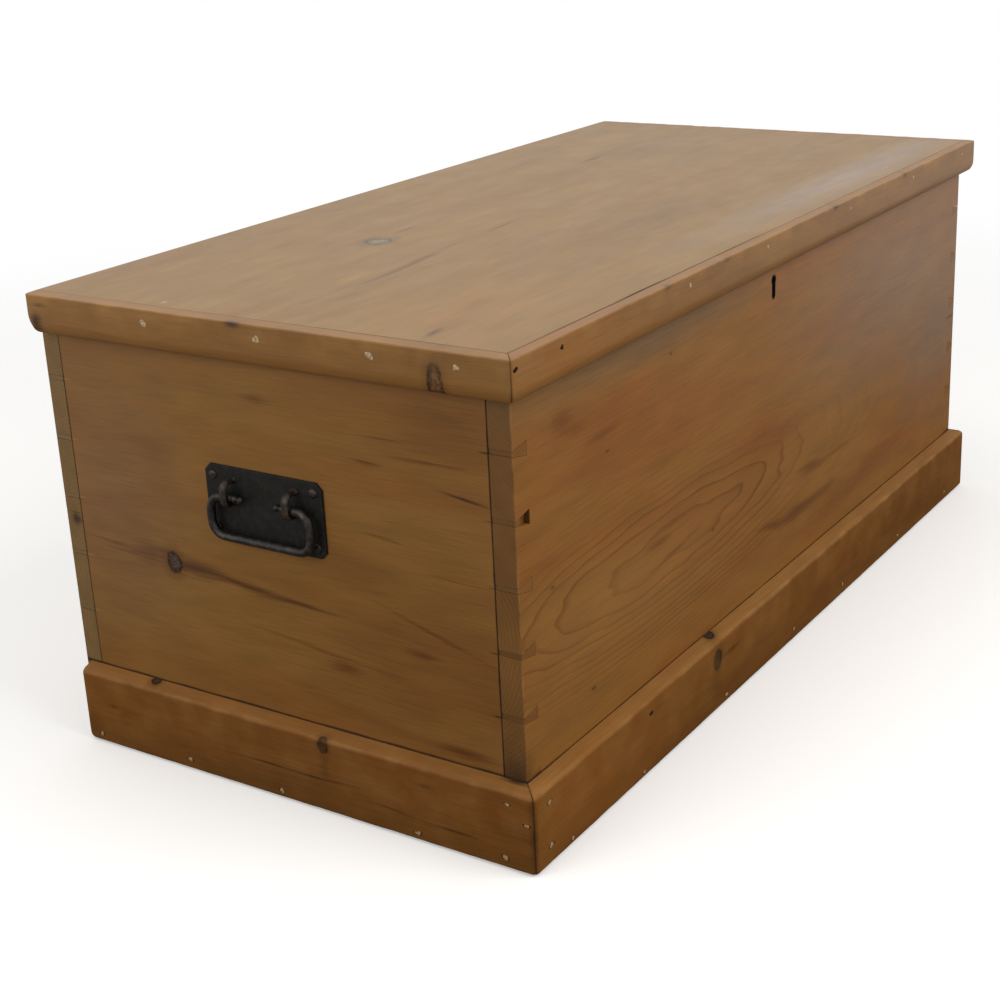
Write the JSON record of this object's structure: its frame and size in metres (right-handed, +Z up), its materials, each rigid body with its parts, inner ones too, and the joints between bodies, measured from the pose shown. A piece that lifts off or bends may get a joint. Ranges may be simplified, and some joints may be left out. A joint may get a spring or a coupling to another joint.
{
  "type": "blanket chest",
  "caption": "Dovetailed pine blanket chest on a mitred plinth, with a hinged edged lid, a box lock behind a keyhole and an iron drop handle on each end.",
  "frame": {"origin": "on the floor, at the centre of the ground that the chest covers, hinge knuckles included", "axes": "+X along the length towards the right end, +Y towards the hinged back, +Z up"},
  "size_m": [1.0338, 0.5243, 0.44],
  "materials": {
    "pine_case": "old waxed pine, satin",
    "pine_lid": "old waxed pine, satin, paler from handling",
    "pine_edging": "old waxed pine moulding, satin",
    "pine_plinth": "old waxed pine, darker and scuffed",
    "pine_bare": "bare aged pine, matt",
    "iron": "blackened wrought iron",
    "bail_iron": "blackened iron, rubbed bright by hands",
    "steel": "dull aged steel"
  },
  "bodies": {
    "case": {"front_board": "pine_case", "back_lower_board": "pine_case", "back_upper_board": "pine_case", "left_end_board": "pine_case", "right_end_board": "pine_case", "bottom_board_1": "pine_bare", "bottom_board_2": "pine_bare", "bottom_board_3": "pine_bare", "plinth_front": "pine_plinth", "plinth_left": "pine_plinth", "plinth_right": "pine_plinth", "left_hinge_case_leaf": "iron", "left_hinge_pin": "steel", "right_hinge_case_leaf": "iron", "right_hinge_pin": "steel", "hinge_case_screw_1": "steel", "hinge_case_screw_2": "steel", "hinge_case_screw_3": "steel", "hinge_case_screw_4": "steel", "lock_plate": "steel", "lock_cap": "steel", "lock_spring": "steel", "lock_key_pin": "steel", "lock_screw_1": "steel", "lock_screw_2": "steel", "lock_screw_3": "steel", "lock_screw_4": "steel", "keyhole_liner": "steel", "left_handle_plate": "iron", "left_handle_eye_1": "iron", "left_handle_eye_2": "iron", "left_handle_stud_1": "iron", "left_handle_stud_2": "iron", "left_handle_stud_3": "iron", "left_handle_stud_4": "iron", "right_handle_plate": "iron", "right_handle_eye_1": "iron", "right_handle_eye_2": "iron", "right_handle_stud_1": "iron", "right_handle_stud_2": "iron", "right_handle_stud_3": "iron", "right_handle_stud_4": "iron"},
    "lid": {"lid_board_front": "pine_lid", "lid_board_back": "pine_lid", "lid_edging_front": "pine_edging", "lid_edging_left": "pine_edging", "lid_edging_right": "pine_edging", "left_hinge_lid_leaf": "iron", "right_hinge_lid_leaf": "iron", "hinge_lid_screw_1": "steel", "hinge_lid_screw_2": "steel", "hinge_lid_screw_3": "steel", "hinge_lid_screw_4": "steel", "lock_link_plate": "steel", "lock_link_screw_1": "steel", "lock_link_screw_2": "steel"},
    "left_bail": {"left_handle_bail": "bail_iron"},
    "right_bail": {"right_handle_bail": "bail_iron"},
    "lock_bolt": {"lock_bolt": "steel"}
  },
  "joints": [
    {"name": "lid_hinge", "type": "hinge", "parent": "case", "child": "lid", "pos_m": [0, 0.25765, 0.42025], "axis": [-1, 0, 0], "range_deg": [0, 105]},
    {"name": "left_bail_swing", "type": "hinge", "parent": "case", "child": "left_bail", "pos_m": [-0.5095, 0.00585, 0.2803], "axis": [0, 1, 0], "range_deg": [0, 170]},
    {"name": "right_bail_swing", "type": "hinge", "parent": "case", "child": "right_bail", "pos_m": [0.5095, 0.00585, 0.2803], "axis": [0, -1, 0], "range_deg": [0, 170]},
    {"name": "bolt_throw", "type": "slide", "parent": "case", "child": "lock_bolt", "axis": [1, 0, 0], "range_m": [0, 0.008]}
  ]
}
